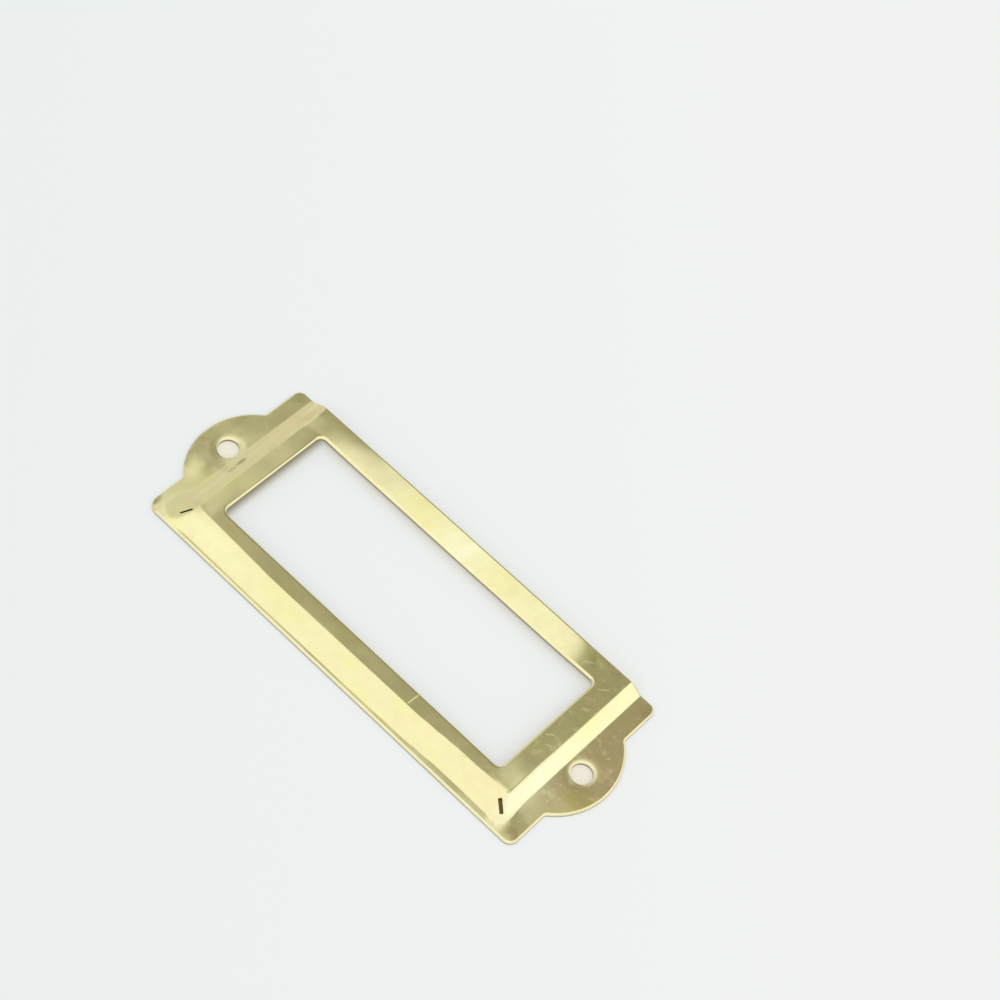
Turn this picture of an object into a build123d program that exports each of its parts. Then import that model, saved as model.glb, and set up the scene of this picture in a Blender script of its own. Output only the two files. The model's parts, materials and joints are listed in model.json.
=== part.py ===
from build123d import *

import os
from math import atan2, tan

# Drawer label holder, pressed from one brass sheet.
#
# Units are millimetres. The back of the flanges lies on the XY plane, +X runs along the
# length, and +Y points to the open side where the card slides in under the raised face.
# The origin is the middle of the blank.

# The sheet, and how far the press lifts it
sheet_thickness = 0.6
frame_height = 2.0
bend_inside_radius = 0.25
window_edge_rounding = 0.2
blank_edge_rounding = 0.35

# The window, and the strips of flat face around it
window_length = 56.2
window_width = 19.85
window_corner_radius = 1.0
end_strip_width = 3.7
near_strip_width = 2.65
far_strip_width = 4.2

# The slopes from the face down to the flanges: two ends and the near side
end_slope_width = 1.9
near_slope_width = 3.2
face_corner_easing = 0.3
foot_corner_radius = 1.8

# The flat metal that lies on the drawer
end_flange_width = 3.3
near_lip_width = 1.1
blank_corner_radius = 1.3

# The round ears and their screw holes
ear_reach = 4.0
ear_radius = 10.7
ear_root_radius = 0.8
screw_hole_diameter = 3.3
screw_hole_from_ear_tip = 4.75
screw_hole_edge_rounding = 0.45

# The relief slit across the mitre of each near corner
slit_length = 2.1
slit_width = 0.55
slit_corner_radius = 0.15
slit_from_foot_end = 1.7
slit_from_foot_near = 2.1
slit_angle = -38.0

# Sizes that follow from those above
slope_rise = frame_height - sheet_thickness
bend_outside_radius = bend_inside_radius + sheet_thickness
face_length = window_length + 2 * end_strip_width
foot_length = face_length + 2 * end_slope_width
blank_length = foot_length + 2 * end_flange_width
blank_width = near_lip_width + near_slope_width + near_strip_width + window_width + far_strip_width
overall_length = blank_length + 2 * ear_reach
blank_far_y = blank_width / 2
foot_near_y = near_lip_width - blank_width / 2
face_near_y = foot_near_y + near_slope_width
window_center_y = blank_far_y - far_strip_width - window_width / 2
ear_center_x = overall_length / 2 - ear_radius
screw_hole_x = overall_length / 2 - screw_hole_from_ear_tip
face_corner_radius = bend_outside_radius + face_corner_easing

# The inside of each bend lies this far in from its outside, so that the slopes keep the
# thickness of the sheet
end_bend_setback = sheet_thickness * tan(atan2(slope_rise, end_slope_width) / 2)
near_bend_setback = sheet_thickness * tan(atan2(slope_rise, near_slope_width) / 2)

# The form is pressed in stock that runs past the blank on every side, then cut to the blank
overrun = 3 * frame_height


def level_outline(height, half_length, near_y, corner_radius):
    """One level of the pressed form: a rounded rectangle that runs out past the open side."""
    far_y = blank_far_y + overrun
    with BuildSketch(Plane.XY.offset(height)) as level:
        with Locations((0, (near_y + far_y) / 2)):
            RectangleRounded(2 * half_length, far_y - near_y, corner_radius)
    return level.sketch


def pressed_surface(floor, end_setback, near_setback, foot_radius, brow_radius):
    """A block whose top is one side of the pressed sheet, with the flanges at height floor.

    The setbacks move the bends inwards from the outside of the sheet. The foot radius
    rounds the bend at the flanges, and the brow radius rounds the one at the face.
    """
    with BuildPart() as surface:
        with BuildSketch(Plane.XY.offset(floor)):
            Rectangle(overall_length + 2 * overrun, blank_width + 4 * overrun)
        extrude(amount=-overrun - floor)
        slab_edges = surface.edges()
        loft(
            [
                level_outline(
                    floor,
                    foot_length / 2 - end_setback,
                    foot_near_y + near_setback,
                    foot_corner_radius - near_setback,
                ),
                level_outline(
                    floor + slope_rise,
                    face_length / 2 - end_setback,
                    face_near_y + near_setback,
                    face_corner_radius - near_setback,
                ),
            ],
            ruled=True,
        )
        foot_edges = surface.edges().filter_by_position(Axis.Z, floor, floor) - slab_edges
        fillet(foot_edges, radius=foot_radius)
        brow_edges = surface.edges().group_by(Axis.Z)[-1]
        fillet(brow_edges, radius=brow_radius)
    return surface.part


def is_ear_root(vertex):
    """Whether this corner of the blank is where an ear meets the straight end of a flange."""
    return abs(vertex.Y) < ear_radius and abs(abs(vertex.X) - blank_length / 2) < ear_root_radius


def is_around_window(edge):
    """Whether this edge bounds the window, and not the blank or a screw hole."""
    middle = edge.center()
    in_length = abs(middle.X) < window_length / 2 + window_edge_rounding
    return in_length and abs(middle.Y - window_center_y) < window_width / 2 + window_edge_rounding


def is_around_screw_hole(edge):
    """Whether this edge bounds a screw hole."""
    middle = edge.center()
    in_ear = abs(abs(middle.X) - screw_hole_x) < screw_hole_diameter
    return in_ear and abs(middle.Y) < screw_hole_diameter


os.makedirs("parts", exist_ok=True)

sheet_top = pressed_surface(sheet_thickness, 0, 0, bend_inside_radius, bend_outside_radius)
sheet_back = pressed_surface(
    0, end_bend_setback, near_bend_setback, bend_outside_radius, bend_inside_radius
)

with BuildPart() as label_frame:
    add(sheet_top)
    add(sheet_back, mode=Mode.SUBTRACT)

    # The blank: a plate with a round ear at each end, which also cuts the open side straight
    with BuildSketch() as blank:
        RectangleRounded(blank_length, blank_width, blank_corner_radius)
        with Locations((-ear_center_x, 0), (ear_center_x, 0)):
            Circle(ear_radius)
        ear_roots = blank.vertices().filter_by(is_ear_root)
        fillet(ear_roots, radius=ear_root_radius)
    extrude(amount=frame_height, mode=Mode.INTERSECT)

    # The window in the face
    with BuildSketch() as window:
        with Locations((0, window_center_y)):
            RectangleRounded(window_length, window_width, window_corner_radius)
    extrude(amount=frame_height, mode=Mode.SUBTRACT)

    # The screw holes
    with BuildSketch() as screw_holes:
        with Locations((-screw_hole_x, 0), (screw_hole_x, 0)):
            Circle(screw_hole_diameter / 2)
    extrude(amount=sheet_thickness, mode=Mode.SUBTRACT)

    # The punch rolls over every cut edge on the face side, and leaves the back sharp
    cut_walls = label_frame.faces().filter_by(lambda face: abs(face.normal_at().Z) < 0.001)
    rolled_edges = cut_walls.edges().filter_by(
        lambda edge: edge.distance_to(sheet_back) > sheet_thickness / 2
    )
    window_edges = rolled_edges.filter_by(is_around_window)
    hole_edges = rolled_edges.filter_by(is_around_screw_hole)
    fillet(rolled_edges - window_edges - hole_edges, radius=blank_edge_rounding)
    fillet(window_edges, radius=window_edge_rounding)
    fillet(hole_edges, radius=screw_hole_edge_rounding)

    # The relief slits
    with BuildSketch() as slits:
        for side in (-1, 1):
            slit_x = side * (foot_length / 2 - slit_from_foot_end)
            slit_place = Location((slit_x, foot_near_y + slit_from_foot_near), side * slit_angle)
            with Locations(slit_place):
                RectangleRounded(slit_length, slit_width, slit_corner_radius)
    extrude(amount=frame_height, mode=Mode.SUBTRACT)

label_frame.part.label = "label_frame"
export_step(label_frame.part, "parts/label_frame.step")
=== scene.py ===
import json
import math

import bpy
import numpy as np
from mathutils import Matrix, Vector
from mathutils.geometry import delaunay_2d_cdt


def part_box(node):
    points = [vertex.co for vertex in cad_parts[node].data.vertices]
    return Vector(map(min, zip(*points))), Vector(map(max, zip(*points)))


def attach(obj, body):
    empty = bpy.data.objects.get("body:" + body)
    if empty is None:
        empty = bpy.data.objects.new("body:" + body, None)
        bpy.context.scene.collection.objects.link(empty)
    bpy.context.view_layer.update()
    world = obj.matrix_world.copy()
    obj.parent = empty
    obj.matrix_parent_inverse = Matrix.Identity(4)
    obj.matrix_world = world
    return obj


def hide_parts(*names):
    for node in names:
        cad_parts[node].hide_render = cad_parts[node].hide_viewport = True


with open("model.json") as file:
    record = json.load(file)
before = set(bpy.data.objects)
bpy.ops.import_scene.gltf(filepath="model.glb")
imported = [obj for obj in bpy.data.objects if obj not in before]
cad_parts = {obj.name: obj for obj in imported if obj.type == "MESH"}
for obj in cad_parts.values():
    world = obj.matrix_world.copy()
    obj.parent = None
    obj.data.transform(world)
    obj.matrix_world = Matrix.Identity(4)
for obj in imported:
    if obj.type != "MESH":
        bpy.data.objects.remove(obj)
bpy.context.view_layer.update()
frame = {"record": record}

# The label holder as one pressed brass sheet, with the small bends, stains and scratches of
# the one in the photograph. Sizes and places are in millimetres on the object: X runs along
# its length, Y to the open side and Z up from the back. Left is -X, and near is -Y.
MM = 0.001

# Camera, worked out from the straight edges of the object in the photograph
CAMERA_AIM = Vector((-2.9, 24.4, 0.0)) * MM
CAMERA_DISTANCE = 347.3 * MM
CAMERA_AZIMUTH = math.radians(31.74)
CAMERA_ELEVATION = math.radians(57.14)
CAMERA_ROLL = math.radians(14.08)
CAMERA_LENS = 83.3
SENSOR_WIDTH = 36.0

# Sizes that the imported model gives
BLANK_HALF_WIDTH, HEIGHT = (round(side / MM, 3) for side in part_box("label_frame")[1][1:])
SCREW_HOLES = next(mount for mount in frame["record"]["mounts"] if mount["name"] == "screw_holes")
HOLE_X = SCREW_HOLES["dims"]["spacing_x_mm"] / 2
HOLE_RADIUS = SCREW_HOLES["dims"]["hole_r_mm"]

# The other sizes of the pressed sheet, as in the solid
SHEET = 0.6
RISE = HEIGHT - SHEET
BEND_INSIDE = 0.25
BLANK_HALF_LENGTH = 37.0
END_FLANGE = 3.3
END_SLOPE = 1.9
NEAR_LIP = 1.1
NEAR_SLOPE = 3.2
FAR_STRIP = 4.2
FOOT_CORNER = 1.8
FACE_CORNER = 0.6
FOOT_HALF = BLANK_HALF_LENGTH - END_FLANGE
FOOT_NEAR = NEAR_LIP - BLANK_HALF_WIDTH
FACE_NEAR = FOOT_NEAR + NEAR_SLOPE
EAR_REACH = 4.0
EAR_RADIUS = 10.7
EAR_ROOT = 0.8
EAR_X = BLANK_HALF_LENGTH + EAR_REACH - EAR_RADIUS
WINDOW_HALF = (56.2 / 2, 19.85 / 2)
WINDOW_Y = BLANK_HALF_WIDTH - FAR_STRIP - WINDOW_HALF[1]
WINDOW_CORNER = 1.0

# Corners, slits and rolled edges of this one. A slit is its middle, its length and width, and
# its turn in degrees. A roll is how far it reaches in from the cut, and how far it falls.
BLANK_CORNERS = {"near_left": 1.9, "near_right": 1.5, "far": 1.3}
SLITS = (
    ((32.0, -12.3), (2.1, 0.58), -38),
    ((-31.85, -12.35), (1.9, 0.28), 56),
)
SLIT_CORNER = 0.13
BLANK_ROLL = (0.35, 0.35)
WINDOW_ROLL = (0.42, 0.22)
HOLE_ROLL = (0.55, 0.15)

# Colours of the floor and the light, linear
FLOOR_LEFT = (0.855, 0.895, 0.885)
FLOOR_RIGHT = (0.905, 0.918, 0.915)
FLOOR_WARM = (0.90, 0.85, 0.78)
FLOOR_IN_HOLE = (0.905, 0.855, 0.735)
FLOOR_UNDER_FACE = (0.20, 0.165, 0.05)
TOP_LIGHT = (1.13, 1.13, 1.13)
SIDE_LIGHT = (0.77, 0.76, 0.73)
DIM_LIGHT = (0.36, 0.345, 0.27)
SOFTBOX_TINT = (0.85, 0.82, 1.0)

# Colours of the metal, linear
BRASS_COLOUR = (0.86, 0.80, 0.45)
PALE_BRASS = (0.87, 0.83, 0.57)
DULL_BRASS = (0.78, 0.72, 0.39)
ROSY_BRASS = (0.87, 0.745, 0.43)
GREEN_BRASS = (0.84, 0.81, 0.39)
GREEN_DULL = (0.79, 0.78, 0.44)
GOLD_BRASS = (0.86, 0.80, 0.38)
YELLOW_BRASS = (0.80, 0.70, 0.28)
LEMON_BRASS = (0.90, 0.87, 0.50)
CREAM_BRASS = (0.92, 0.91, 0.60)
TAN_BRASS = (0.78, 0.66, 0.36)
BROWN_BRASS = (0.62, 0.49, 0.26)
OLIVE_BRASS = (0.62, 0.60, 0.29)
GREY_BRASS = (0.63, 0.585, 0.33)
DARK_BRASS = (0.42, 0.37, 0.19)
CUT_WALL = (0.36, 0.33, 0.19)


# Form of the sheet

# How the real sheet strays from the pressed form, as places along X or Y and what holds there
NEAR_SLOPE_STRAY = (
    (-34, 0), (-28, -0.05), (-16, -0.2), (-4, -0.18), (14, -0.1), (22, 0.3), (30, 0.3), (36, 0.1),
)
NEAR_FOOT_RADIUS = ((-34, 2.4), (-22, 1.6), (-10, 1.1), (8, 0.9), (20, 0.8), (29, 0.8), (33, 1.3))
NEAR_BROW_RADIUS = (
    (-31, 2.8), (-24, 2.2), (-16, 0.95), (18, 0.95), (25, 1.3), (29, 2.6), (31, 3.2),
)
LEFT_BROW_RADIUS = ((6, 1.5), (12, 2.2))
FAR_STRIP_LEAN = (
    (-31.5, 0), (-29, 0.2), (-27, 0.4), (-25, 0.58), (-21, 0.83), (-15, 0.97), (-8, 1.07),
    (0, 1.3), (20, 1.2), (22.1, 1.0), (23.2, 0.8), (24.4, 0.45), (26, 0.12), (28, 0.05), (30, 0),
)
FAR_STRIP_CURVE = ((-26, 1.7), (-18, 1.0), (20, 1.0), (24, 1.3))
LEFT_STRIP_LEAN = ((-6, 0.085), (0, 0.108), (6, 0.142), (11, 0.135), (14, 0.03))
LEFT_FLANGE_LIFT = ((-10, 0.075), (0, 0.075), (6, 0.07), (12, 0.055))
RIGHT_END_DROP = ((27, 0), (30, 1), (33.7, 1), (34.2, 1.25), (36.5, 0.45))
# How far the metal moves where one of these is at its full strength
FAR_STRIP_FALL = 0.27
NEAR_STRIP_FALL = 0.03
RIGHT_END_FALL = 0.042
RIGHT_CORNER_LIFT = 0.02
LEFT_EAR_BUMP = 0.035
CORNER_SWELL = 0.05
# Where the bends at the ends get softer, going to the near side
NEAR_PART = (-7.5, -12.0)
# Side, depth and spread of the dish round each screw hole
HOLE_DISHES = ((-1, 0.03, 0.4), (1, 0.02, 0.5))
# Slow waves all over: height, direction in radians, wavelength and shift
WAVES = (
    (0.005, 0.4, 11.0, 0.3),
    (0.004, 1.9, 8.0, 1.1),
    (0.002, 1.2, 5.3, 2.0),
    (0.0015, 2.6, 4.1, 4.2),
)
LOWEST_TOP = 0.42

# How finely the form is worked out
PHASE_RANGE = (-1.5, 2.4)
PHASE_HALVINGS = 34
PHASE_PROBE = 0.02
NORMAL_PROBE = 0.03
EASING_POINTS = 8
EASING_CENTRE_WEIGHT = 2


def share(at, start, stop):
    """0 at start, 1 at stop, straight between. Start may be the larger one."""
    return np.clip((at - start) / (stop - start), 0.0, 1.0)


def ramp(at, start, stop):
    """0 at start, 1 at stop, smooth between. Start may be the larger one."""
    part = share(at, start, stop)
    return part * part * (3 - 2 * part)


def bell(x, y, at, spread):
    """1 at a point, falling softly to 0 round it."""
    return np.exp(-((x - at[0]) / spread[0]) ** 2 / 2 - ((y - at[1]) / spread[1]) ** 2 / 2)


def course(at, table):
    """A value that changes along a line, from a table of places and values."""
    places, values = zip(*table)
    return np.interp(at, places, values)


def corner_span(past_x, past_y):
    """Distance round a corner's centre, from how far a point lies past it each way."""
    round_part = np.hypot(np.maximum(past_x, 0), np.maximum(past_y, 0))
    return round_part + np.minimum(np.maximum(past_x, past_y), 0)


def phase(x, y, end_set, near_set):
    """How far up the slopes a point lies in plan: 0 on the foot line, 1 on the brow line.

    Each level line is a rounded rectangle, open at the far side. The one through the point
    is found by halving. The two sets move the lines inwards, as the back needs.
    """
    low = np.full(x.shape, PHASE_RANGE[0])
    high = np.full(x.shape, PHASE_RANGE[1])
    for _ in range(PHASE_HALVINGS):
        mid = (low + high) / 2
        half = FOOT_HALF - end_set - END_SLOPE * mid
        near = FOOT_NEAR + near_set + NEAR_SLOPE * mid
        corner = FOOT_CORNER - near_set - (FOOT_CORNER - FACE_CORNER) * mid
        outside = corner_span(np.abs(x) - half + corner, near + corner - y) > corner
        high = np.where(outside, mid, high)
        low = np.where(outside, low, mid)
    return (low + high) / 2


def foot_radii(x, y):
    """Inside radius of the bend at the flanges: on the end slopes, and on the near slope."""
    corner = ramp(y, *NEAR_PART)
    right = BEND_INSIDE + 1.0 * corner
    left = 1.0 + 3.2 * corner
    return np.where(x > 0, right, left), course(x, NEAR_FOOT_RADIUS)


def brow_radii(x, y):
    """Outside radius of the bend at the face: on the end slopes, and on the near slope."""
    right = BEND_INSIDE + SHEET + 0.6 * np.exp(-((y + 5.0) / 4.0) ** 2)
    left = course(y, LEFT_BROW_RADIUS)
    return np.where(x > 0, right, left), course(x, NEAR_BROW_RADIUS)


def pressed(x, y, back):
    """Height of the top of the sheet, or of its back, with bends but without dents."""
    end_set = SHEET * math.tan(math.atan2(RISE, END_SLOPE) / 2) if back else 0.0
    near_set = SHEET * math.tan(math.atan2(RISE, NEAR_SLOPE) / 2) if back else 0.0
    level = y - course(x, NEAR_SLOPE_STRAY)

    def at(move_x, move_y):
        return phase(x + move_x, level + move_y, end_set, near_set)

    # Which slope a point is on, and how wide that slope is there
    part = at(0, 0)
    part_x = (at(PHASE_PROBE, 0) - at(-PHASE_PROBE, 0)) / (2 * PHASE_PROBE)
    part_y = (at(0, PHASE_PROBE) - at(0, -PHASE_PROBE)) / (2 * PHASE_PROBE)
    steepness = np.hypot(part_x, part_y)
    endness = part_x**2 / np.maximum(steepness**2, 1e-6)
    width = np.clip(1 / np.maximum(steepness, 0.2), END_SLOPE, NEAR_SLOPE)

    # Section across the slope: an arc at the foot, a straight slope and an arc at the brow
    foot_end, foot_near = foot_radii(x, y)
    brow_end, brow_near = brow_radii(x, y)
    thicker = SHEET if back else 0
    foot_radius = endness * foot_end + (1 - endness) * foot_near + thicker
    brow_radius = endness * brow_end + (1 - endness) * brow_near - thicker
    angle = np.arctan2(RISE, width)
    along = part * width
    past_foot = along + foot_radius * np.tan(angle / 2)
    to_brow = width + brow_radius * np.tan(angle / 2) - along
    foot_end_of_arc = foot_radius * np.sin(angle)
    brow_end_of_arc = brow_radius * np.sin(angle)
    into_foot = np.clip(past_foot, 0, foot_end_of_arc)
    into_brow = np.clip(to_brow, 0, brow_end_of_arc)
    foot_arc = foot_radius - np.sqrt(foot_radius**2 - into_foot**2)
    brow_arc = RISE - brow_radius + np.sqrt(brow_radius**2 - into_brow**2)
    height = np.where(past_foot < foot_end_of_arc, foot_arc, along * np.tan(angle))
    height = np.where(to_brow < brow_end_of_arc, brow_arc, height)
    return height + SHEET - thicker


def eased(x, y, back):
    """The pressed form, with softer bends at the left end and the near right corner.

    There the height is a mean over points round each point, out to a reach that changes.
    """
    height = pressed(x, y, back)
    left_reach = 0.3 * (1 + ramp(y, *NEAR_PART)) * ramp(x, -29.5, -31.5)
    right_reach = 0.4 * ramp(x, 31, 33) * ramp(y, -9.5, -12)
    reach = left_reach + right_reach
    soft = reach > 0
    soft_x, soft_y, reach = x[soft], y[soft], reach[soft]
    total = EASING_CENTRE_WEIGHT * height[soft]
    for turn in np.arange(EASING_POINTS) * 2 * math.pi / EASING_POINTS:
        round_x = soft_x + reach * math.cos(turn)
        round_y = soft_y + reach * math.sin(turn)
        total = total + pressed(round_x, round_y, back)
    height[soft] = total / (EASING_POINTS + EASING_CENTRE_WEIGHT)
    return height


def strip_leans(x, y, lift):
    """The strips of flat face round the window lean a little towards it."""
    across = share(y, BLANK_HALF_WIDTH, BLANK_HALF_WIDTH - FAR_STRIP) * ramp(y, 4, 10)
    far = FAR_STRIP_FALL * course(x, FAR_STRIP_LEAN) * across ** course(x, FAR_STRIP_CURVE)
    near = share(y, FACE_NEAR, FACE_NEAR + 2.7) * ramp(y, -4, -7) * ramp(np.abs(x), 29, 27)
    left = share(x, -28.2, -31.8) * ramp(y, -13, -9.5)
    left = course(y, LEFT_STRIP_LEAN) * left * lift
    return -far - NEAR_STRIP_FALL * near - left


def end_bends(x, y, lift):
    """The left flange rises towards its slope, and the right end drops at its near side."""
    left = course(y, LEFT_FLANGE_LIFT) * share(x, -38.3, -33.6) ** 1.3
    left = left * (1 - lift) * ramp(x, -22, -33)
    right_fall = course(x, RIGHT_END_DROP) * ramp(y, -4.5, -11)
    right_lift = ramp(x, 33.5, 35) * ramp(y, -11, -15)
    return left - RIGHT_END_FALL * right_fall + RIGHT_CORNER_LIFT * right_lift


def flange_swells(x, y, lift):
    """A low bump on the left ear, and the metal pushed up round the foot of both near corners."""
    bump = bell(x, y, (-36.3, -5.6), (1.1, 1.3))
    past_x = np.abs(x) - FOOT_HALF + FOOT_CORNER
    past_y = FOOT_NEAR + FOOT_CORNER - y
    from_foot = np.maximum(corner_span(past_x, past_y) - FOOT_CORNER, 0)
    swell = ramp(np.abs(x), 31, 33.5) * ramp(y, -10.5, -13) * np.exp(-from_foot / 0.75)
    return (LEFT_EAR_BUMP * bump + CORNER_SWELL * swell) * (1 - lift)


def hole_dishes(x, y):
    """The punch pressed the metal down a little round the screw holes."""
    move = np.zeros(x.shape)
    for side, depth, spread in HOLE_DISHES:
        from_hole = np.maximum(np.hypot(x - side * HOLE_X, y) - HOLE_RADIUS, 0)
        move = move - depth * np.exp(-from_hole**2 / spread)
    return move


def waves(x, y):
    """Slow unevenness all over the sheet. It only lowers it, so that it stays in its box."""
    move = np.zeros(x.shape)
    for height, direction, wavelength, shift in WAVES:
        along = x * math.cos(direction) + y * math.sin(direction)
        move = move + height * (np.sin(2 * math.pi * along / wavelength + shift) - 1)
    return move


def dents(x, y, lift):
    """Departures of this sheet from the pressed form. Lift is 1 on the face, 0 on the flanges."""
    bends = strip_leans(x, y, lift) + end_bends(x, y, lift) + flange_swells(x, y, lift)
    return bends + hole_dishes(x, y) + waves(x, y)


def top_height(x, y):
    plain = eased(x, y, False)
    return np.maximum(plain + dents(x, y, (plain - SHEET) / RISE), LOWEST_TOP)


def back_height(x, y):
    plain = eased(x, y, True)
    return np.maximum(plain + dents(x, y, plain / RISE), 0.0)


def on_surface(plan, height):
    """Points in space on the top or the back, above points in plan."""
    return np.column_stack([plan, height(plan[:, 0], plan[:, 1])])


def surface_normals(plan, height):
    """Upward normals of the top or the back, above points in plan."""
    x, y = plan[:, 0], plan[:, 1]
    slope_x = (height(x + NORMAL_PROBE, y) - height(x - NORMAL_PROBE, y)) / (2 * NORMAL_PROBE)
    slope_y = (height(x, y + NORMAL_PROBE) - height(x, y - NORMAL_PROBE)) / (2 * NORMAL_PROBE)
    normals = np.stack([-slope_x, -slope_y, np.ones_like(slope_x)], 1)
    return normals / np.linalg.norm(normals, axis=1)[:, None]


# Outlines in plan. Each is its points, anticlockwise, and the way into the metal at each.

# Spacing of points round corners, ear roots and ears
CORNER_STEP = 0.16
ROOT_STEP = 0.1
EAR_STEP = 0.35
# Gaps that are kept from where a grid line crosses a straight edge to the edge's end, and
# from a grid point to any edge
EDGE_CLEARANCE = 0.12
GRID_CLEARANCE = 0.11
# The grid from the middle outwards, and from the near side across: where each stretch ends,
# and its spacing. It is finest on the slopes.
COLUMNS = ((30.4, 0.6), (35.2, 0.15), (41.2, 0.5))
ROWS = ((-15.0, 0.25), (-10.4, 0.16), (15.5, 0.5))


def stretches(start, ends):
    """Places from start through each stretch, which is given by its end and its spacing."""
    places = []
    for stop, step in ends:
        count = max(1, round((stop - start) / step))
        places += list(np.linspace(start, stop, count + 1)[:-1])
        start = stop
    return places + [start]


def grid_lines():
    """The columns and the rows of the grid."""
    right = stretches(0, COLUMNS)
    columns = sorted(set([-place for place in right] + right))
    return np.array(columns), np.array(stretches(-BLANK_HALF_WIDTH, ROWS))


def arc(center, radius, start, stop, inward, step=CORNER_STEP):
    """An arc. Inward is -1 where the metal is on the centre's side, +1 where not."""
    count = max(3, int(abs(stop - start) * radius / step) + 1)
    turn = np.linspace(start, stop, count + 1)
    ray = np.stack([np.cos(turn), np.sin(turn)], 1)
    return np.array(center) + radius * ray, inward * ray


def straight(start, stop, way, lines):
    """A straight edge, without its ends, with a point where each grid line crosses it."""
    start, stop = np.array(start, float), np.array(stop, float)
    axis = 0 if abs(stop[0] - start[0]) > abs(stop[1] - start[1]) else 1
    low, high = sorted((start[axis], stop[axis]))
    cuts = np.array([v for v in lines[axis] if low + EDGE_CLEARANCE < v < high - EDGE_CLEARANCE])
    if stop[axis] < start[axis]:
        cuts = cuts[::-1]
    part = (cuts - start[axis]) / (stop[axis] - start[axis])
    points = start + part[:, None] * (stop - start)
    return points, np.tile(np.array(way, float), (len(points), 1))


def join(pieces):
    """One outline from its pieces in order, with no point twice."""
    points = np.concatenate([piece[0] for piece in pieces])
    ways = np.concatenate([piece[1] for piece in pieces])
    keep = np.linalg.norm(points - np.roll(points, 1, axis=0), axis=1) > 1e-6
    return points[keep], ways[keep]


def opening(center, half, corner, lines):
    """A rounded rectangle cut out of the metal. With a corner as large as its half, a circle."""
    quarter_turn = math.pi / 2
    corners = ((1, -1), (1, 1), (-1, 1), (-1, -1))
    middles = [
        (center[0] + sign_x * (half[0] - corner), center[1] + sign_y * (half[1] - corner))
        for sign_x, sign_y in corners
    ]
    pieces = []
    for quarter, middle in enumerate(middles):
        start = (quarter - 1) * quarter_turn
        stop = start + quarter_turn
        side = (math.cos(stop), math.sin(stop))
        after = middles[(quarter + 1) % len(middles)]
        begin = (middle[0] + corner * side[0], middle[1] + corner * side[1])
        end = (after[0] + corner * side[0], after[1] + corner * side[1])
        pieces.append(arc(middle, corner, start, stop, 1))
        pieces.append(straight(begin, end, side, lines))
    return join(pieces)


def half_outline(near_radius, far_radius, lines):
    """The right half of the blank's outline, from the near side to the far side."""
    half_x, half_y = BLANK_HALF_LENGTH, BLANK_HALF_WIDTH
    root_x = half_x + EAR_ROOT
    root_y = math.sqrt((EAR_RADIUS + EAR_ROOT) ** 2 - (root_x - EAR_X) ** 2)
    reach = math.atan2(root_y, root_x - EAR_X)
    near_center = (half_x - near_radius, near_radius - half_y)
    far_center = (half_x - far_radius, half_y - far_radius)
    return [
        straight((0, -half_y), (near_center[0], -half_y), (0, 1), lines),
        arc(near_center, near_radius, -math.pi / 2, 0, -1),
        straight((half_x, near_center[1]), (half_x, -root_y), (-1, 0), lines),
        arc((root_x, -root_y), EAR_ROOT, math.pi, math.pi - reach, 1, ROOT_STEP),
        arc((EAR_X, 0), EAR_RADIUS, -reach, reach, -1, EAR_STEP),
        arc((root_x, root_y), EAR_ROOT, math.pi + reach, math.pi, 1, ROOT_STEP),
        straight((half_x, root_y), (half_x, far_center[1]), (-1, 0), lines),
        arc(far_center, far_radius, 0, math.pi / 2, -1),
        straight((far_center[0], half_y), (0, half_y), (0, -1), lines),
    ]


def blank_outline(lines):
    """The right half, then a left half that is drawn as a right one and turned half round."""
    right = half_outline(BLANK_CORNERS["near_right"], BLANK_CORNERS["far"], lines)
    left = half_outline(BLANK_CORNERS["far"], BLANK_CORNERS["near_left"], lines)
    return join(right + [(-points, -ways) for points, ways in left])


def slit_outline(at, size, turn):
    """A relief slit, turned in degrees."""
    points, ways = opening((0, 0), (size[0] / 2, size[1] / 2), SLIT_CORNER, ([], []))
    cosine, sine = math.cos(math.radians(turn)), math.sin(math.radians(turn))
    spin = np.array([[cosine, sine], [-sine, cosine]])
    return points @ spin + np.array(at), ways @ spin


def cut_edges(lines):
    """Every cut edge of the sheet: its outline, its roll or None, and whether it is the outer one."""
    hole_half = (HOLE_RADIUS, HOLE_RADIUS)
    return [
        (blank_outline(lines), BLANK_ROLL, True),
        (opening((0, WINDOW_Y), WINDOW_HALF, WINDOW_CORNER, lines), WINDOW_ROLL, False),
        (opening((-HOLE_X, 0), hole_half, HOLE_RADIUS, lines), HOLE_ROLL, False),
        (opening((HOLE_X, 0), hole_half, HOLE_RADIUS, lines), HOLE_ROLL, False),
        (slit_outline(*SLITS[0]), None, False),
        (slit_outline(*SLITS[1]), None, False),
    ]


# Mesh of the sheet

# Turns of a rolled edge, from the cut wall over to the flat metal
ROLL_TURNS = [math.radians(turn) for turn in (90, 72, 54, 36, 18, 0)]
# Distances that are worked out at once, which keeps the memory small
PAIRS_AT_ONCE = 4000000


def inside(points, loop):
    """Whether each point lies inside a closed loop."""
    result = np.zeros(len(points), bool)
    ends = np.roll(loop, -1, axis=0)
    for (ax, ay), (bx, by) in zip(loop, ends):
        if ay == by:
            continue
        crosses = (ay > points[:, 1]) != (by > points[:, 1])
        result ^= crosses & (points[:, 0] < (bx - ax) * (points[:, 1] - ay) / (by - ay) + ax)
    return result


def in_metal(points, loops):
    """Whether each point lies inside the first loop and outside the others."""
    result = inside(points, loops[0])
    for loop in loops[1:]:
        result &= ~inside(points, loop)
    return result


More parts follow.
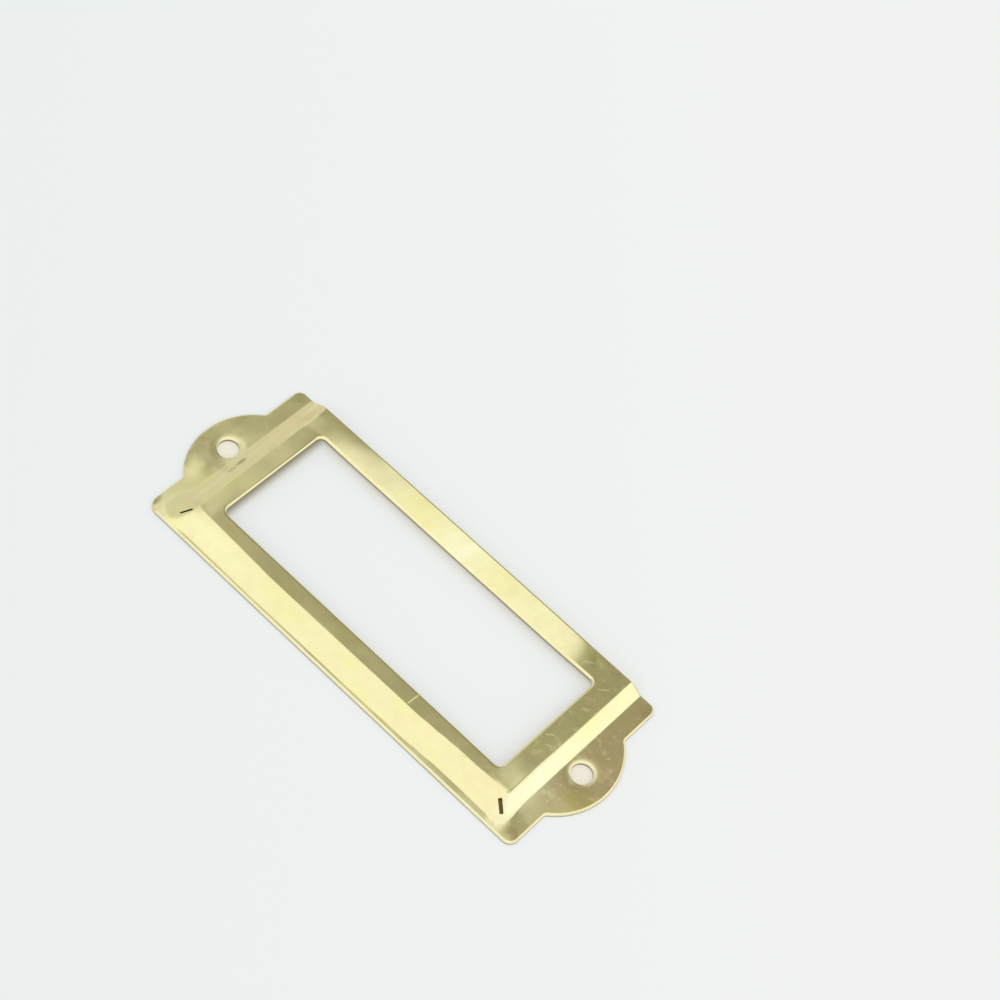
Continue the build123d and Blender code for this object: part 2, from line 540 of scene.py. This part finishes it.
def near_any(points, loops, gap):
    """Whether each point lies nearer than the gap to a point of a loop."""
    close = np.zeros(len(points), bool)
    for loop in loops:
        batches = max(1, len(points) * len(loop) // PAIRS_AT_ONCE)
        for part in np.array_split(np.arange(len(points)), batches):
            span = np.linalg.norm(points[part][:, None] - loop[None], axis=2).min(axis=1)
            close[part] |= span < gap
    return close


def neighbours(size, outer):
    """Pairs of neighbours round a loop, in the order that turns its faces outwards."""
    for i in range(size):
        j = (i + 1) % size
        yield (i, j) if outer else (j, i)


def rolled_rings(points, ways, roll):
    """Rings of top points and their normals, from the cut wall in to the flat metal."""
    if roll is None:
        return [(on_surface(points, top_height), surface_normals(points, top_height))]
    reach, fall = roll
    outwards = np.column_stack([-ways, np.zeros(len(ways))])
    rings = []
    for turn in ROLL_TURNS:
        plan = points + ways * (reach * (1 - math.sin(turn)))
        top = on_surface(plan, top_height) - (0, 0, fall * (1 - math.cos(turn)))
        flat = surface_normals(plan, top_height)
        mixed = math.cos(turn) / fall * flat + math.sin(turn) / reach * outwards
        rings.append((top, mixed / np.linalg.norm(mixed, axis=1)[:, None]))
    return rings


def flat_fill(loops, lines):
    """Grid points in the metal between the loops, and triangles over both.

    A triangle numbers the points of the loops first, in order, and then those of the grid.
    """
    columns, rows = np.meshgrid(*lines)
    grid = np.stack([columns.ravel(), rows.ravel()], 1)
    grid = grid[in_metal(grid, loops)]
    grid = grid[~near_any(grid, loops, GRID_CLEARANCE)]
    plan = np.concatenate([*loops, grid])
    edges = []
    start = 0
    for loop in loops:
        edges += [(start + i, start + j) for i, j in neighbours(len(loop), True)]
        start += len(loop)
    places, _, triangles, origins, *_ = delaunay_2d_cdt(
        [Vector(point) for point in plan], edges, [], 0, 1e-6
    )
    assert len(places) == len(plan), (len(places), len(plan))
    places = np.array([tuple(place) for place in places])
    triangles = np.array(triangles)
    triangles = triangles[in_metal(places[triangles].mean(axis=1), loops)]
    first_origin = np.array([members[0] for members in origins])
    return grid, first_origin[triangles]


def sheet_top(lines):
    """The top of the sheet: points, normals, faces, and where the wall of each cut edge starts."""
    tops, normals, bands, walls = [], [], [], []
    loops, numbers = [], []
    count = 0
    for (points, ways), roll, outer in cut_edges(lines):
        size = len(points)
        walls.append((count, ways, outer))
        for level, (ring, ring_normals) in enumerate(rolled_rings(points, ways, roll)):
            if level:
                a, b = count - size, count
                bands += [(a + p, a + q, b + q, b + p) for p, q in neighbours(size, outer)]
            tops.append(ring)
            normals.append(ring_normals)
            count += size
        loops.append(ring[:, :2])
        numbers.append(np.arange(count - size, count))
    grid, triangles = flat_fill(loops, lines)
    numbers = np.concatenate([*numbers, np.arange(count, count + len(grid))])
    tops.append(on_surface(grid, top_height))
    normals.append(surface_normals(grid, top_height))
    faces = [tuple(int(number) for number in face) for face in numbers[triangles]] + bands
    return np.concatenate(tops), np.concatenate(normals), faces, walls


def build_sheet():
    """The whole pressed sheet as one closed mesh, with its own normals."""
    top, top_normals, top_faces, walls = sheet_top(grid_lines())
    total = len(top)
    back = on_surface(top[:, :2], back_height)
    back_normals = -surface_normals(top[:, :2], back_height)
    back_faces = [tuple(total + i for i in reversed(face)) for face in top_faces]
    wall_faces, wall_normals = [], []
    for first, ways, outer in walls:
        outwards = np.column_stack([-ways, np.zeros(len(ways))])
        for p, q in neighbours(len(ways), outer):
            a, b = first + p, first + q
            wall_faces.append((a, total + a, total + b, b))
            wall_normals += [outwards[p], outwards[p], outwards[q], outwards[q]]
    mesh = bpy.data.meshes.new("label_frame_sheet")
    points = np.concatenate([top, back]) * MM
    mesh.from_pydata(points.tolist(), [], top_faces + back_faces + wall_faces)
    loop_normals = [top_normals[i] for face in top_faces for i in face]
    loop_normals += [back_normals[i - total] for face in back_faces for i in face]
    loop_normals += wall_normals
    mesh.normals_split_custom_set([tuple(normal) for normal in loop_normals])
    mesh.update()
    sheet = bpy.data.objects.new("label_frame_sheet", mesh)
    bpy.context.scene.collection.objects.link(sheet)
    print("sheet", len(mesh.vertices), "vertices", len(mesh.polygons), "faces")
    return sheet


# Materials

# Scratches that shine paler: start, stop, half the width and strength
LIGHT_SCRATCHES = (
    ((12.45, -8.5), (12.3, -11.0), 0.17, 0.9),
    ((29.0, 10.6), (30.6, 12.0), 0.14, 0.35),
    ((28.9, 0.0), (29.9, 0.9), 0.16, 0.35),
    ((29.9, -1.2), (30.9, -0.6), 0.12, 0.3),
    ((28.6, 5.4), (29.2, 5.0), 0.12, 0.3),
    ((37.0, 4.1), (37.5, 4.7), 0.10, 0.45),
    ((34.9, 5.0), (35.3, 5.2), 0.10, 0.4),
    ((24.4, 12.6), (26.2, 13.6), 0.18, 0.3),
)
# Dark strokes along the rim of the left ear: the same four values
RIM_STROKES = (
    ((-40.98, -0.6), (-40.2, -4.3), 0.40, 0.4),
    ((-40.2, -4.0), (-38.3, -7.0), 0.40, 0.4),
)
# Stains and darker patches, with painted highlights and painted shade among them, which have a
# wavering outline: middle, reach along X and Y, strength and colour
STAINS_AND_PAINTED_LIGHT = (
    ((35.6, -13.9), (1.1, 1.1), 0.85, BROWN_BRASS),
    ((35.0, 3.0), (0.7, 0.6), 0.55, BROWN_BRASS),
    ((-36.6, 3.2), (0.6, 0.6), 0.3, BROWN_BRASS),
    ((-31.2, -10.2), (1.2, 1.0), 0.2, BROWN_BRASS),
    ((25.1, 13.7), (1.0, 0.9), 0.55, OLIVE_BRASS),
    ((29.3, 14.2), (1.0, 0.6), 0.35, OLIVE_BRASS),
    ((36.2, 14.2), (0.9, 1.0), 0.45, OLIVE_BRASS),
    ((-36.1, 14.3), (1.0, 1.0), 0.5, OLIVE_BRASS),
    ((-34.9, 10.5), (0.8, 2.2), 0.35, ROSY_BRASS),
    ((-38.2, 5.4), (1.0, 0.7), 0.35, ROSY_BRASS),
    ((-32.6, 9.5), (1.1, 4.0), 0.6, ROSY_BRASS),
    ((-32.6, 12.5), (1.2, 2.0), 0.5, TAN_BRASS),
    ((35.3, -6.0), (1.1, 1.5), 0.5, DULL_BRASS),
    ((-29.8, 4.0), (1.5, 3.0), 0.9, DULL_BRASS),
    # Painted highlight on the strip left of the window
    ((-30.0, 9.0), (1.4, 1.7), 0.8, LEMON_BRASS),
    ((-29.8, -8.0), (1.5, 1.6), 0.6, DULL_BRASS),
    ((-35.5, -11.5), (1.3, 3.0), 0.5, GREEN_DULL),
    ((-38.9, 1.5), (1.6, 3.0), 0.5, DULL_BRASS),
    ((-24.5, -9.9), (4.0, 1.2), 0.6, GOLD_BRASS),
    ((25.0, -9.9), (2.6, 1.1), 0.5, DULL_BRASS),
    ((-39.95, -2.2), (0.5, 1.1), 0.6, OLIVE_BRASS),
    ((-39.3, -4.1), (0.55, 1.0), 0.65, OLIVE_BRASS),
    ((-38.2, -6.0), (0.7, 0.8), 0.6, OLIVE_BRASS),
    ((38.2, -6.3), (1.6, 1.2), 0.6, DULL_BRASS),
    ((29.8, -9.2), (1.4, 1.2), 0.5, DULL_BRASS),
    # Painted highlight on the right slope
    ((32.8, -6.0), (1.4, 9.0), 0.75, PALE_BRASS),
    # Painted highlight along the far strip, brightest in its middle
    ((0.0, 13.4), (19.0, 2.6), 0.7, LEMON_BRASS),
    ((-8.5, 13.4), (3.2, 2.2), 0.8, GOLD_BRASS),
    ((8.0, 13.4), (3.0, 2.2), 0.6, GOLD_BRASS),
    ((0.0, 13.4), (2.6, 2.2), 0.7, CREAM_BRASS),
    # Painted highlight on the near slope
    ((-26.0, -13.0), (7.0, 1.5), 0.6, LEMON_BRASS),
    # Painted shade below the left screw hole, where the dish round it tilts
    ((-36.7, -3.1), (3.1, 1.3), 0.75, GREY_BRASS),
    ((-37.4, 6.2), (2.8, 2.1), 0.5, OLIVE_BRASS),
    # Painted highlight above the left screw hole
    ((-35.3, 2.8), (1.0, 0.8), 0.9, LEMON_BRASS),
)
# Painted shade along the bends of the left and right slopes, a painted highlight beside the right
# one, and a dark patch at the near left corner, which have an even outline: the same four values
BEND_SHADE_HIGHLIGHT_AND_MARK = (
    ((-32.95, -0.4), (0.37, 0.95), 1.0, DARK_BRASS),
    ((-32.85, -2.3), (0.36, 0.9), 0.5, DARK_BRASS),
    ((-36.8, -14.1), (0.75, 1.1), 1.1, DARK_BRASS),
    ((31.1, -8.2), (0.35, 2.6), 0.9, LEMON_BRASS),
    ((31.5, -7.8), (0.1, 2.6), 0.8, BROWN_BRASS),
)
# A yellower field under the stains of the right ear: the same four values
RIGHT_EAR_TINT = (((38.6, -3.8), (1.9, 2.4), 0.8, YELLOW_BRASS),)

# Noise in the metal: lumps per millimetre along X and Y, and its detail
CLOUD = ((0.14, 0.14), 2.0)
ROSY_CLOUD = ((0.33, 0.33), 1.0)
MOTTLE = ((0.5, 0.5), 4.0)
PATCH = ((0.75, 0.75), 3.0)
STREAK = ((0.25, 5.0), 3.0)
SPECK = ((3.2, 3.2), 1.0)
WAVER_X = ((0.55, 0.62), 2.0)
WAVER_Y = ((0.66, 0.48), 2.0)
# Whole width that a stain's outline can waver over
WAVER_WIDTH = 3.2

# How upright the normal of a face is, from where it is none of these to where it is one
CUT_WALLS = (0.14, 0.05)
ROLLED_EDGES = (0.76, 0.70)

# Roughness of the polished metal, and what each kind of wear adds to it
POLISHED = 0.11
STREAKED = 0.05
RUBBED = 0.42
ROUND_HOLES = 0.12
ON_WALLS = 0.3


class Painter:
    """Short names for the shader nodes used here. A value is a number, a tuple or a socket."""

    def __init__(self, tree):
        self.tree = tree

    def add(self, kind, **values):
        """A new node with these properties."""
        node = self.tree.nodes.new(kind)
        for name, value in values.items():
            setattr(node, name, value)
        return node

    def put(self, socket, value):
        """Links a socket to an input, or sets the input to a number or a tuple."""
        if isinstance(value, bpy.types.NodeSocket):
            self.tree.links.new(value, socket)
        elif isinstance(value, tuple) and socket.type == "RGBA":
            socket.default_value = (*value, 1)
        else:
            socket.default_value = value

    def calc(self, operation, *values):
        """One step of arithmetic, such as ADD or MAXIMUM."""
        node = self.add("ShaderNodeMath", operation=operation)
        for socket, value in zip(node.inputs, values):
            self.put(socket, value)
        return node.outputs[0]

    def times(self, *factors):
        """The product of all the factors."""
        result = factors[0]
        for factor in factors[1:]:
            result = self.calc("MULTIPLY", result, factor)
        return result

    def ramp(self, value, low, high):
        """0 at low, 1 at high, smooth between. Low may be the larger one."""
        node = self.add("ShaderNodeMapRange", interpolation_type="SMOOTHSTEP")
        self.put(node.inputs["Value"], value)
        node.inputs["From Min"].default_value = low
        node.inputs["From Max"].default_value = high
        return node.outputs["Result"]

    def blend(self, factor, first, second):
        """The first colour at a factor of 0, the second at 1."""
        node = self.add("ShaderNodeMix", data_type="RGBA")
        self.put(node.inputs["Factor"], factor)
        self.put(node.inputs["A"], first)
        self.put(node.inputs["B"], second)
        return node.outputs["Result"]

    def along(self, vector, way):
        """How far a vector reaches along a fixed way."""
        node = self.add("ShaderNodeVectorMath", operation="DOT_PRODUCT")
        self.put(node.inputs[0], vector)
        node.inputs[1].default_value = way
        return node.outputs["Value"]

    def parts(self, vector):
        """The X, Y and Z of a vector."""
        node = self.add("ShaderNodeSeparateXYZ")
        self.put(node.inputs[0], vector)
        return node.outputs

    def place(self):
        """Where a point lies on the object, in millimetres."""
        node = self.add("ShaderNodeVectorMath", operation="SCALE")
        self.put(node.inputs[0], self.add("ShaderNodeTexCoord").outputs["Object"])
        node.inputs["Scale"].default_value = 1 / MM
        return node.outputs["Vector"]

    def noise(self, place, stretch, detail):
        """Even noise from 0 to 1. Stretch is its lumps per millimetre along X and Y."""
        node = self.add("ShaderNodeVectorMath", operation="MULTIPLY")
        self.put(node.inputs[0], place)
        node.inputs[1].default_value = (stretch[0], stretch[1], 1.0)
        noise = self.add("ShaderNodeTexNoise")
        self.put(noise.inputs["Vector"], node.outputs["Vector"])
        noise.inputs["Scale"].default_value = 1.0
        noise.inputs["Detail"].default_value = detail
        return noise.outputs["Fac"]

    def spot(self, x, y, at, reach, soft=1.0):
        """1 inside an oval round a point, 0 outside it."""
        part_x = self.calc("DIVIDE", self.calc("SUBTRACT", x, at[0]), reach[0])
        part_y = self.calc("DIVIDE", self.calc("SUBTRACT", y, at[1]), reach[1])
        span = self.calc("ADD", self.times(part_x, part_x), self.times(part_y, part_y))
        return self.ramp(span, 1.0 + soft, max(0.0, 1.0 - soft))

    def holes(self, x, y, radius, soft):
        """1 on and round both screw holes."""
        spots = (
            self.spot(x, y, (side * HOLE_X, 0.0), (radius, radius), soft) for side in (-1, 1)
        )
        return self.calc("MAXIMUM", *spots)

    def stroke(self, place, start, stop, half):
        """1 on a straight scratch from start to stop, 0 beyond its half width."""
        start, stop = Vector((*start, 0)), Vector((*stop, 0))
        length = (stop - start).length
        way = (stop - start) / length
        node = self.add("ShaderNodeVectorMath", operation="SUBTRACT")
        self.put(node.inputs[0], place)
        node.inputs[1].default_value = (start + stop) / 2
        from_middle = node.outputs["Vector"]
        run = self.calc("ABSOLUTE", self.along(from_middle, way))
        side = self.calc("ABSOLUTE", self.along(from_middle, (-way.y, way.x, 0)))
        on_width = self.ramp(side, half, half * 0.3)
        return self.times(on_width, self.ramp(run, length / 2, length * 0.35))

    def strongest_stroke(self, place, strokes, least):
        """The strongest of some strokes, and at least a value given."""
        for start, stop, half, strength in strokes:
            stroke = self.times(self.stroke(place, start, stop, half), strength)
            least = self.calc("MAXIMUM", least, stroke)
        return least

    def laid_over(self, colour, x, y, overlays, *factors):
        """The colour with patches laid over it in order: discoloured patches and tints, painted
        highlights and painted shade.
        """
        for at, reach, strength, overlay_colour in overlays:
            factor = self.times(self.spot(x, y, at, reach), *factors, strength)
            colour = self.blend(factor, colour, overlay_colour)
        return colour


def tinted_brass(paint, place, x, y):
    """The metal's own colour, with slow changes of tint and rosier ends."""
    green = paint.ramp(paint.noise(place, *CLOUD), 0.50, 0.70)
    colour = paint.blend(green, BRASS_COLOUR, GREEN_BRASS)
    right_flange = paint.times(paint.ramp(x, 33.6, 34.6), paint.ramp(y, -12.0, -6.0))
    colour = paint.blend(paint.times(right_flange, 0.85), colour, ROSY_BRASS)
    left_slope = paint.times(
        paint.ramp(x, -31.0, -32.2), paint.ramp(x, -34.4, -33.4), paint.ramp(y, -13.5, -10.0)
    )
    rosy = paint.ramp(paint.noise(place, *ROSY_CLOUD), 0.50, 0.68)
    rosy = paint.calc("MAXIMUM", paint.times(left_slope, 0.5), paint.times(rosy, 0.45))
    return paint.blend(rosy, colour, ROSY_BRASS)


def wavered(paint, place, along, noise):
    """A coordinate that strays either way, so that what is laid by it has an uneven outline."""
    stray = paint.calc(
        "MULTIPLY_ADD", paint.noise(place, *noise), WAVER_WIDTH, -WAVER_WIDTH / 2
    )
    return paint.calc("ADD", along, stray)


def rub_marks(paint, place, x, patch):
    """Worn patches, specks and scratches, densest at the right end."""
    right_end = paint.ramp(x, 20.0, 27.0)
    often = paint.calc("MULTIPLY_ADD", right_end, 0.35, 0.1)
    worn = paint.times(paint.ramp(patch, 0.50, 0.90), often)
    speck = paint.ramp(paint.noise(place, *SPECK), 0.64, 0.85)
    specks = paint.times(speck, paint.calc("MULTIPLY_ADD", right_end, 0.25, 0.15))
    return paint.strongest_stroke(place, LIGHT_SCRATCHES, paint.calc("MAXIMUM", worn, specks))


def brass():
    """Bright polished brass, rubbed in places, with discoloured patches, painted highlights and
    painted shade, and rolled edges painted paler as a highlight.
    """
    material = bpy.data.materials.new("brass")
    material.use_nodes = True
    shader = material.node_tree.nodes["Principled BSDF"]
    paint = Painter(material.node_tree)
    place = paint.place()
    x, y, _ = paint.parts(place)
    normal = paint.add("ShaderNodeNewGeometry").outputs["True Normal"]
    upright = paint.calc("ABSOLUTE", paint.parts(normal)["Z"])
    wall = paint.ramp(upright, *CUT_WALLS)
    patch = paint.noise(place, *PATCH)
    by_holes = paint.holes(x, y, 2.2, 0.12)

    colour = tinted_brass(paint, place, x, y)
    colour = paint.laid_over(colour, x, y, RIGHT_EAR_TINT)
    wavy_x = wavered(paint, place, x, WAVER_X)
    wavy_y = wavered(paint, place, y, WAVER_Y)
    blotchy = paint.calc("MULTIPLY_ADD", patch, 0.8, 0.6)
    # Stains and darker patches, with painted highlights and painted shade among them
    colour = paint.laid_over(colour, wavy_x, wavy_y, STAINS_AND_PAINTED_LIGHT, blotchy)
    # Painted shade and a painted highlight along bends, and a dark patch at the near left corner
    colour = paint.laid_over(colour, x, y, BEND_SHADE_HIGHLIGHT_AND_MARK)

    # Rolled edges, and the metal round the screw holes, are painted paler as a highlight, apart from
    # the far side
    edge = paint.times(paint.ramp(upright, *ROLLED_EDGES), paint.ramp(y, 15.1, 14.6))
    edge = paint.calc("MAXIMUM", edge, paint.times(by_holes, 0.45))
    colour = paint.blend(edge, colour, PALE_BRASS)
    dull = paint.times(paint.ramp(paint.noise(place, *MOTTLE), 0.35, 0.65), 0.3)
    colour = paint.blend(dull, colour, DULL_BRASS)
    dark = paint.strongest_stroke(place, RIM_STROKES, wall)
    paint.put(shader.inputs["Base Color"], paint.blend(dark, colour, CUT_WALL))

    rough = paint.calc("MULTIPLY_ADD", paint.noise(place, *STREAK), STREAKED, POLISHED)
    rough = paint.calc("MULTIPLY_ADD", rub_marks(paint, place, x, patch), RUBBED, rough)
    rough = paint.calc("MULTIPLY_ADD", by_holes, ROUND_HOLES, rough)
    rough = paint.calc("MULTIPLY_ADD", wall, ON_WALLS, rough)
    paint.put(shader.inputs["Roughness"], rough)
    shader.inputs["Metallic"].default_value = 1.0
    return material


FLOOR_HALF = 4.0
FLOOR_ROUGHNESS = 0.9
# Share of the floor's brightness that is its own, where it is seen or mirrored
FLOOR_GLOW = 0.5


def floor_colour(paint):
    """Pale, a little bluer to the left, with the shade and the warm light that the brass throws."""
    place = paint.place()
    x, y, _ = paint.parts(place)
    across = paint.along(place, (0.72, 0.69, 0.0))
    colour = paint.blend(paint.ramp(across, -75.0, 75.0), FLOOR_LEFT, FLOOR_RIGHT)
    from_middle = paint.calc("ABSOLUTE", x)
    from_window_middle = paint.calc("ABSOLUTE", paint.calc("SUBTRACT", y, WINDOW_Y))
    window_x, window_y = WINDOW_HALF

    # Warm light by the window's edges, and in the screw holes
    raised = paint.times(
        paint.ramp(from_middle, FOOT_HALF, FOOT_HALF - 0.4),
        paint.ramp(y, FOOT_NEAR, FOOT_NEAR + 0.4),
        paint.ramp(y, BLANK_HALF_WIDTH, BLANK_HALF_WIDTH - 1.0),
    )
    by_edge = paint.calc(
        "MAXIMUM",
        paint.ramp(from_middle, window_x - 2.2, window_x),
        paint.ramp(from_window_middle, window_y - 1.6, window_y),
    )
    colour = paint.blend(paint.times(by_edge, raised, 0.45), colour, FLOOR_WARM)
    colour = paint.blend(paint.holes(x, y, 2.0, 0.2), colour, FLOOR_IN_HOLE)

    # Shade under the raised face, which starts under the strip at the window's left end
    past_ends = paint.calc(
        "MAXIMUM",
        paint.ramp(x, 1.0 - window_x, -1.4 - window_x),
        paint.ramp(x, window_x, window_x + 1.6),
    )
    past_sides = paint.ramp(from_window_middle, window_y, window_y + 1.6)
    under = paint.times(raised, paint.calc("MAXIMUM", past_ends, past_sides))
    return paint.blend(under, colour, FLOOR_UNDER_FACE)


def pale_floor():
    """Pale table paint. Part of it is an even glow, which softens the shadow round the object."""
    material = bpy.data.materials.new("pale_floor")
    material.use_nodes = True
    nodes = material.node_tree.nodes
    shader = nodes["Principled BSDF"]
    paint = Painter(material.node_tree)
    colour = floor_colour(paint)
    paint.put(shader.inputs["Base Color"], colour)
    shader.inputs["Roughness"].default_value = FLOOR_ROUGHNESS
    shader.inputs["Specular IOR Level"].default_value = 0.0

    glow = paint.add("ShaderNodeEmission")
    paint.put(glow.inputs["Color"], colour)
    path = paint.add("ShaderNodeLightPath")
    seen = paint.calc("MAXIMUM", path.outputs["Is Camera Ray"], path.outputs["Is Glossy Ray"])
    seen = paint.calc("MAXIMUM", seen, path.outputs["Is Transmission Ray"])
    mix = paint.add("ShaderNodeMixShader")
    paint.put(mix.inputs["Fac"], paint.times(seen, FLOOR_GLOW))
    paint.put(mix.inputs[1], shader.outputs["BSDF"])
    paint.put(mix.inputs[2], glow.outputs["Emission"])
    paint.put(nodes["Material Output"].inputs["Surface"], mix.outputs["Shader"])
    return material


# Camera, floor and light

# The softbox beyond the right end: the way to it, and its distance and width in metres
SOFTBOX_WAY = Vector((0.718, 0.461, 0.521))
SOFTBOX_DISTANCE = 0.8
SOFTBOX_SIZE = (0.45, 0.45)
SOFTBOX_RADIANCE = 0.16


def make_camera():
    data = bpy.data.cameras.new("camera")
    data.lens = CAMERA_LENS
    data.sensor_width = SENSOR_WIDTH
    data.clip_start = 0.01
    data.clip_end = 10.0
    camera = bpy.data.objects.new("camera", data)
    bpy.context.scene.collection.objects.link(camera)
    forward = Vector((
        -math.sin(CAMERA_AZIMUTH) * math.cos(CAMERA_ELEVATION),
        math.cos(CAMERA_AZIMUTH) * math.cos(CAMERA_ELEVATION),
        -math.sin(CAMERA_ELEVATION),
    ))
    level = forward.cross(Vector((0, 0, 1))).normalized()
    upright = level.cross(forward)
    right = level * math.cos(CAMERA_ROLL) + upright * math.sin(CAMERA_ROLL)
    up = upright * math.cos(CAMERA_ROLL) - level * math.sin(CAMERA_ROLL)
    turn = Matrix((right, up, -forward)).transposed()
    stand = CAMERA_AIM - forward * CAMERA_DISTANCE
    camera.matrix_world = Matrix.Translation(stand) @ turn.to_4x4()
    bpy.context.scene.camera = camera


def make_floor():
    half = FLOOR_HALF
    mesh = bpy.data.meshes.new("floor")
    corners = [(-half, -half, 0), (half, -half, 0), (half, half, 0), (-half, half, 0)]
    mesh.from_pydata(corners, [], [(0, 1, 2, 3)])
    floor = bpy.data.objects.new("floor", mesh)
    bpy.context.scene.collection.objects.link(floor)
    mesh.materials.append(pale_floor())


def make_softbox():
    """A square softbox beyond the right end, with the same brightness all over."""
    data = bpy.data.lights.new("end_softbox", "AREA")
    data.shape = "RECTANGLE"
    data.size, data.size_y = SOFTBOX_SIZE
    data.energy = SOFTBOX_RADIANCE * data.size * data.size_y * math.pi
    data.color = SOFTBOX_TINT
    lamp = bpy.data.objects.new("end_softbox", data)
    bpy.context.scene.collection.objects.link(lamp)
    lamp.location = SOFTBOX_WAY * SOFTBOX_DISTANCE
    lamp.rotation_mode = "QUATERNION"
    lamp.rotation_quaternion = SOFTBOX_WAY.normalized().to_track_quat("Z", "Y")


def make_surroundings():
    """Bright overhead, a little less bright at the sides, with one dim field the metal mirrors."""
    world = bpy.data.worlds.new("studio")
    bpy.context.scene.world = world
    world.use_nodes = True
    paint = Painter(world.node_tree)
    way = paint.add("ShaderNodeTexCoord").outputs["Generated"]
    x, _, z = paint.parts(way)
    overhead = paint.times(paint.ramp(z, 0.10, 0.45), paint.ramp(x, -0.48, -0.40))
    bright = paint.blend(overhead, SIDE_LIGHT, TOP_LIGHT)
    dim = paint.times(
        paint.ramp(paint.along(way, (1.0, 0.5, 0.214)), -0.084, -0.008),
        paint.ramp(paint.along(way, (0.0, 1.0, -0.39)), -0.022, 0.046),
        paint.ramp(x, 0.20, -0.02),
    )
    background = world.node_tree.nodes["Background"]
    paint.put(background.inputs["Color"], paint.blend(dim, bright, DIM_LIGHT))


make_camera()
make_floor()
make_surroundings()
make_softbox()
sheet = build_sheet()
sheet.data.materials.append(brass())
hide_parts("label_frame")
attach(sheet, "root")
bpy.context.scene.view_settings.view_transform = "Standard"
